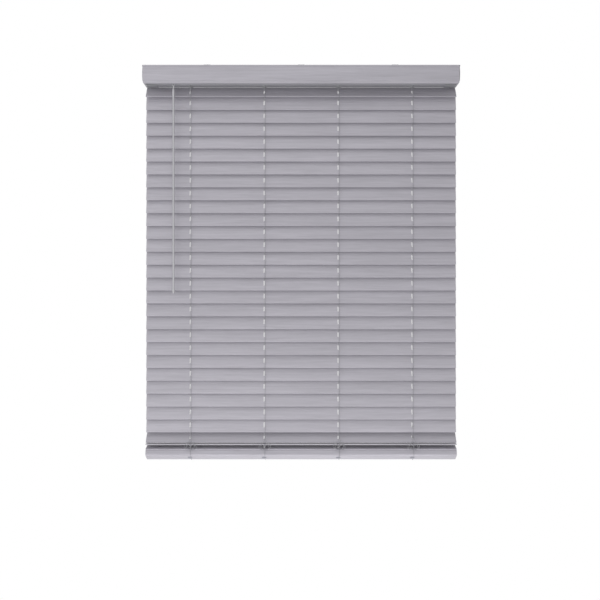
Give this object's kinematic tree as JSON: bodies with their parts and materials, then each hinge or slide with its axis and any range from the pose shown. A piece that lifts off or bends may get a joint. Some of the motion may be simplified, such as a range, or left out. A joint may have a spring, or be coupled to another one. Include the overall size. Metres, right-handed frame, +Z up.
{
  "type": "faux wood blind",
  "caption": "Wall-mounted horizontal slat blind with valance, headrail, string ladders, tilt wand and bottom rail, hung closed.",
  "frame": {"origin": "centre of the rectangle of four wall screws, on the wall plane", "axes": "+Z up, +Y into the wall, -Y towards the room, +X to the right seen from the room"},
  "size_m": [1.049, 0.086, 1.3133],
  "materials": {
    "slat": "satin foil with a faint wood grain",
    "valance": "satin",
    "rail": "satin",
    "headrail": "baked enamel",
    "bracket": "baked enamel",
    "tilter_plastic": "moulded",
    "clear_plastic": "moulded",
    "gear": "moulded acetal",
    "motor_case": "moulded",
    "rod": "drawn",
    "hook": "drawn wire",
    "ladder": "braided polyester",
    "lift_cord": "braided polyester",
    "plug": "moulded",
    "wand": "extruded"
  },
  "bodies": {
    "root": {"headrail": "headrail", "headrail_end_caps": "tilter_plastic", "mounting_brackets": "bracket", "bracket_covers": "bracket", "valance_board": "valance", "valance_returns": "valance", "valance_clips": "clear_plastic", "ladder_cradles": "tilter_plastic", "tilter_housing": "tilter_plastic", "spring_motor": "motor_case", "upper_ladders": "ladder", "lift_cords": "lift_cord"},
    "tilt_rod": {"tilt_rod": "rod", "ladder_drums": "tilter_plastic", "tilter_gear": "gear"},
    "tilter_worm": {"tilter_worm": "gear"},
    "wand_hook": {"wand_hook": "hook"},
    "wand": {"wand": "wand"},
    "ladder_front": {"ladder_front_cords": "ladder"},
    "ladder_rear": {"ladder_rear_cords": "ladder"},
    "rail_carriage": {"lower_ladders": "ladder"},
    "bottom_rail": {"bottom_rail": "rail", "rail_plugs": "plug"},
    "lift_21": {"rungs_21": "ladder"},
    "lift_22": {"rungs_22": "ladder"},
    "lift_23": {"rungs_23": "ladder"},
    "lift_24": {"rungs_24": "ladder"},
    "lift_25": {"rungs_25": "ladder"},
    "lift_26": {"rungs_26": "ladder"},
    "lift_27": {"rungs_27": "ladder"},
    "slat_01": {"slat_01": "slat"},
    "slat_02": {"slat_02": "slat"},
    "slat_03": {"slat_03": "slat"},
    "slat_04": {"slat_04": "slat"},
    "slat_05": {"slat_05": "slat"},
    "slat_06": {"slat_06": "slat"},
    "slat_07": {"slat_07": "slat"},
    "slat_08": {"slat_08": "slat"},
    "slat_09": {"slat_09": "slat"},
    "slat_10": {"slat_10": "slat"},
    "slat_11": {"slat_11": "slat"},
    "slat_12": {"slat_12": "slat"},
    "slat_13": {"slat_13": "slat"},
    "slat_14": {"slat_14": "slat"},
    "slat_15": {"slat_15": "slat"},
    "slat_16": {"slat_16": "slat"},
    "slat_17": {"slat_17": "slat"},
    "slat_18": {"slat_18": "slat"},
    "slat_19": {"slat_19": "slat"},
    "slat_20": {"slat_20": "slat"},
    "slat_21": {"slat_21": "slat"},
    "slat_22": {"slat_22": "slat"},
    "slat_23": {"slat_23": "slat"},
    "slat_24": {"slat_24": "slat"},
    "slat_25": {"slat_25": "slat"},
    "slat_26": {"slat_26": "slat"},
    "slat_27": {"slat_27": "slat"},
    "slat_28": {"slat_28": "slat"},
    "slat_29": {"slat_29": "slat"},
    "slat_30": {"slat_30": "slat"}
  },
  "joints": [
    {"name": "slat_tilt", "type": "hinge", "parent": "root", "child": "slat_14", "pos_m": [0, -0.03, -0.5992], "axis": [-1, 0, 0], "range_deg": [0, 148], "deforming": ["upper_ladders", "lower_ladders", "rungs_21", "rungs_22", "rungs_23", "rungs_24", "rungs_25", "rungs_26", "rungs_27"]},
    {"name": "rail_lift", "type": "slide", "parent": "root", "child": "rail_carriage", "axis": [0, 0, 1], "range_m": [0, 0.23], "deforming": ["lift_cords", "ladder_front_cords", "ladder_rear_cords"]},
    {"name": "slat_01_tilt", "type": "hinge", "parent": "root", "child": "slat_01", "pos_m": [0, -0.03, -0.0478], "axis": [-1, 0, 0], "range_deg": [0, 90]},
    {"name": "slat_02_tilt", "type": "hinge", "parent": "root", "child": "slat_02", "pos_m": [0, -0.03, -0.0832], "axis": [-1, 0, 0], "range_deg": [0, 148]},
    {"name": "slat_03_tilt", "type": "hinge", "parent": "root", "child": "slat_03", "pos_m": [0, -0.03, -0.1262], "axis": [-1, 0, 0], "range_deg": [0, 148]},
    {"name": "slat_04_tilt", "type": "hinge", "parent": "root", "child": "slat_04", "pos_m": [0, -0.03, -0.1692], "axis": [-1, 0, 0], "range_deg": [0, 148]},
    {"name": "slat_05_tilt", "type": "hinge", "parent": "root", "child": "slat_05", "pos_m": [0, -0.03, -0.2122], "axis": [-1, 0, 0], "range_deg": [0, 148]},
    {"name": "slat_06_tilt", "type": "hinge", "parent": "root", "child": "slat_06", "pos_m": [0, -0.03, -0.2552], "axis": [-1, 0, 0], "range_deg": [0, 148]},
    {"name": "slat_07_tilt", "type": "hinge", "parent": "root", "child": "slat_07", "pos_m": [0, -0.03, -0.2982], "axis": [-1, 0, 0], "range_deg": [0, 148]},
    {"name": "slat_08_tilt", "type": "hinge", "parent": "root", "child": "slat_08", "pos_m": [0, -0.03, -0.3412], "axis": [-1, 0, 0], "range_deg": [0, 148]},
    {"name": "slat_09_tilt", "type": "hinge", "parent": "root", "child": "slat_09", "pos_m": [0, -0.03, -0.3842], "axis": [-1, 0, 0], "range_deg": [0, 148]},
    {"name": "slat_10_tilt", "type": "hinge", "parent": "root", "child": "slat_10", "pos_m": [0, -0.03, -0.4272], "axis": [-1, 0, 0], "range_deg": [0, 148]},
    {"name": "slat_11_tilt", "type": "hinge", "parent": "root", "child": "slat_11", "pos_m": [0, -0.03, -0.4702], "axis": [-1, 0, 0], "range_deg": [0, 148]},
    {"name": "slat_12_tilt", "type": "hinge", "parent": "root", "child": "slat_12", "pos_m": [0, -0.03, -0.5132], "axis": [-1, 0, 0], "range_deg": [0, 148]},
    {"name": "slat_13_tilt", "type": "hinge", "parent": "root", "child": "slat_13", "pos_m": [0, -0.03, -0.5562], "axis": [-1, 0, 0], "range_deg": [0, 148]},
    {"name": "slat_15_tilt", "type": "hinge", "parent": "root", "child": "slat_15", "pos_m": [0, -0.03, -0.6422], "axis": [-1, 0, 0], "range_deg": [0, 148]},
    {"name": "slat_16_tilt", "type": "hinge", "parent": "root", "child": "slat_16", "pos_m": [0, -0.03, -0.6852], "axis": [-1, 0, 0], "range_deg": [0, 148]},
    {"name": "slat_17_tilt", "type": "hinge", "parent": "root", "child": "slat_17", "pos_m": [0, -0.03, -0.7282], "axis": [-1, 0, 0], "range_deg": [0, 148]},
    {"name": "slat_18_tilt", "type": "hinge", "parent": "root", "child": "slat_18", "pos_m": [0, -0.03, -0.7712], "axis": [-1, 0, 0], "range_deg": [0, 148]},
    {"name": "slat_19_tilt", "type": "hinge", "parent": "root", "child": "slat_19", "pos_m": [0, -0.03, -0.8142], "axis": [-1, 0, 0], "range_deg": [0, 148]},
    {"name": "slat_20_tilt", "type": "hinge", "parent": "root", "child": "slat_20", "pos_m": [0, -0.03, -0.8572], "axis": [-1, 0, 0], "range_deg": [0, 148]},
    {"name": "slat_21_tilt", "type": "hinge", "parent": "lift_21", "child": "slat_21", "pos_m": [0, -0.03, -0.9002], "axis": [-1, 0, 0], "range_deg": [0, 148]},
    {"name": "slat_22_tilt", "type": "hinge", "parent": "lift_22", "child": "slat_22", "pos_m": [0, -0.03, -0.9432], "axis": [-1, 0, 0], "range_deg": [0, 148]},
    {"name": "slat_23_tilt", "type": "hinge", "parent": "lift_23", "child": "slat_23", "pos_m": [0, -0.03, -0.9862], "axis": [-1, 0, 0], "range_deg": [0, 148]},
    {"name": "slat_24_tilt", "type": "hinge", "parent": "lift_24", "child": "slat_24", "pos_m": [0, -0.03, -1.0292], "axis": [-1, 0, 0], "range_deg": [0, 148]},
    {"name": "slat_25_tilt", "type": "hinge", "parent": "lift_25", "child": "slat_25", "pos_m": [0, -0.03, -1.0722], "axis": [-1, 0, 0], "range_deg": [0, 148]},
    {"name": "slat_26_tilt", "type": "hinge", "parent": "lift_26", "child": "slat_26", "pos_m": [0, -0.03, -1.1152], "axis": [-1, 0, 0], "range_deg": [0, 148]},
    {"name": "slat_27_tilt", "type": "hinge", "parent": "lift_27", "child": "slat_27", "pos_m": [0, -0.03, -1.1582], "axis": [-1, 0, 0], "range_deg": [0, 148]},
    {"name": "slat_28_tilt", "type": "hinge", "parent": "rail_carriage", "child": "slat_28", "pos_m": [0, -0.03, -1.1997], "axis": [-1, 0, 0], "range_deg": [0, 76]},
    {"name": "slat_29_tilt", "type": "hinge", "parent": "rail_carriage", "child": "slat_29", "pos_m": [0, -0.03, -1.2204], "axis": [-1, 0, 0], "range_deg": [0, 22]},
    {"name": "slat_30_tilt", "type": "hinge", "parent": "rail_carriage", "child": "slat_30", "pos_m": [0, -0.03, -1.2326], "axis": [-1, 0, 0], "range_deg": [0, 18]},
    {"name": "bottom_rail_tilt", "type": "hinge", "parent": "rail_carriage", "child": "bottom_rail", "pos_m": [0, -0.03407, -1.2566], "axis": [-1, 0, 0], "range_deg": [0, 6]},
    {"name": "lift_21_slide", "type": "slide", "parent": "root", "child": "lift_21", "axis": [0, 0, 1], "range_m": [0, 0.03]},
    {"name": "lift_22_slide", "type": "slide", "parent": "root", "child": "lift_22", "axis": [0, 0, 1], "range_m": [0, 0.06]},
    {"name": "lift_23_slide", "type": "slide", "parent": "root", "child": "lift_23", "axis": [0, 0, 1], "range_m": [0, 0.09]},
    {"name": "lift_24_slide", "type": "slide", "parent": "root", "child": "lift_24", "axis": [0, 0, 1], "range_m": [0, 0.12]},
    {"name": "lift_25_slide", "type": "slide", "parent": "root", "child": "lift_25", "axis": [0, 0, 1], "range_m": [0, 0.15]},
    {"name": "lift_26_slide", "type": "slide", "parent": "root", "child": "lift_26", "axis": [0, 0, 1], "range_m": [0, 0.18]},
    {"name": "lift_27_slide", "type": "slide", "parent": "root", "child": "lift_27", "axis": [0, 0, 1], "range_m": [0, 0.21]},
    {"name": "ladder_front_travel", "type": "hinge", "parent": "slat_14", "child": "ladder_front", "pos_m": [0, -0.03648, -0.62179], "axis": [-1, 0, 0], "range_deg": [-148, 0]},
    {"name": "ladder_rear_travel", "type": "hinge", "parent": "slat_14", "child": "ladder_rear", "pos_m": [0, -0.02352, -0.57661], "axis": [-1, 0, 0], "range_deg": [-148, 0]},
    {"name": "rod_spin", "type": "hinge", "parent": "root", "child": "tilt_rod", "pos_m": [0, -0.03, -0.002], "axis": [-1, 0, 0], "range_deg": [0, 240]},
    {"name": "worm_spin", "type": "hinge", "parent": "root", "child": "tilter_worm", "pos_m": [-0.4225, -0.03849, 0.00649], "axis": [0, -0.7071, -0.7071], "range_deg": [0, 2881]},
    {"name": "wand_swing", "type": "hinge", "parent": "root", "child": "wand_hook", "pos_m": [-0.4225, -0.066, -0.02103], "axis": [0, 1, 0], "range_deg": [-60, 60]},
    {"name": "wand_spin", "type": "hinge", "parent": "wand_hook", "child": "wand", "pos_m": [-0.4225, -0.066, -0.02103], "axis": [0, 0, -1], "range_deg": [0, 2881]}
  ],
  "couplings": [
    {"joint": "slat_01_tilt", "follows": "slat_tilt", "ratio": 0.60811},
    {"joint": "slat_02_tilt", "follows": "slat_tilt", "ratio": 1},
    {"joint": "slat_03_tilt", "follows": "slat_tilt", "ratio": 1},
    {"joint": "slat_04_tilt", "follows": "slat_tilt", "ratio": 1},
    {"joint": "slat_05_tilt", "follows": "slat_tilt", "ratio": 1},
    {"joint": "slat_06_tilt", "follows": "slat_tilt", "ratio": 1},
    {"joint": "slat_07_tilt", "follows": "slat_tilt", "ratio": 1},
    {"joint": "slat_08_tilt", "follows": "slat_tilt", "ratio": 1},
    {"joint": "slat_09_tilt", "follows": "slat_tilt", "ratio": 1},
    {"joint": "slat_10_tilt", "follows": "slat_tilt", "ratio": 1},
    {"joint": "slat_11_tilt", "follows": "slat_tilt", "ratio": 1},
    {"joint": "slat_12_tilt", "follows": "slat_tilt", "ratio": 1},
    {"joint": "slat_13_tilt", "follows": "slat_tilt", "ratio": 1},
    {"joint": "slat_15_tilt", "follows": "slat_tilt", "ratio": 1},
    {"joint": "slat_16_tilt", "follows": "slat_tilt", "ratio": 1},
    {"joint": "slat_17_tilt", "follows": "slat_tilt", "ratio": 1},
    {"joint": "slat_18_tilt", "follows": "slat_tilt", "ratio": 1},
    {"joint": "slat_19_tilt", "follows": "slat_tilt", "ratio": 1},
    {"joint": "slat_20_tilt", "follows": "slat_tilt", "ratio": 1},
    {"joint": "slat_21_tilt", "follows": "slat_tilt", "ratio": 1},
    {"joint": "slat_22_tilt", "follows": "slat_tilt", "ratio": 1},
    {"joint": "slat_23_tilt", "follows": "slat_tilt", "ratio": 1},
    {"joint": "slat_24_tilt", "follows": "slat_tilt", "ratio": 1},
    {"joint": "slat_25_tilt", "follows": "slat_tilt", "ratio": 1},
    {"joint": "slat_26_tilt", "follows": "slat_tilt", "ratio": 1},
    {"joint": "slat_27_tilt", "follows": "slat_tilt", "ratio": 1},
    {"joint": "slat_28_tilt", "follows": "slat_tilt", "ratio": 0.51351},
    {"joint": "slat_29_tilt", "follows": "slat_tilt", "ratio": 0.14865},
    {"joint": "slat_30_tilt", "follows": "slat_tilt", "ratio": 0.12162},
    {"joint": "bottom_rail_tilt", "follows": "slat_tilt", "ratio": 0.040541},
    {"joint": "lift_21_slide", "follows": "rail_lift", "ratio": 0.13043},
    {"joint": "lift_22_slide", "follows": "rail_lift", "ratio": 0.26087},
    {"joint": "lift_23_slide", "follows": "rail_lift", "ratio": 0.3913},
    {"joint": "lift_24_slide", "follows": "rail_lift", "ratio": 0.52174},
    {"joint": "lift_25_slide", "follows": "rail_lift", "ratio": 0.65217},
    {"joint": "lift_26_slide", "follows": "rail_lift", "ratio": 0.78261},
    {"joint": "lift_27_slide", "follows": "rail_lift", "ratio": 0.91304},
    {"joint": "ladder_front_travel", "follows": "slat_tilt", "ratio": -1},
    {"joint": "ladder_rear_travel", "follows": "slat_tilt", "ratio": -1},
    {"joint": "rod_spin", "follows": "slat_tilt", "ratio": 1.6216},
    {"joint": "worm_spin", "follows": "slat_tilt", "ratio": 19.459},
    {"joint": "wand_spin", "follows": "slat_tilt", "ratio": 19.459}
  ]
}
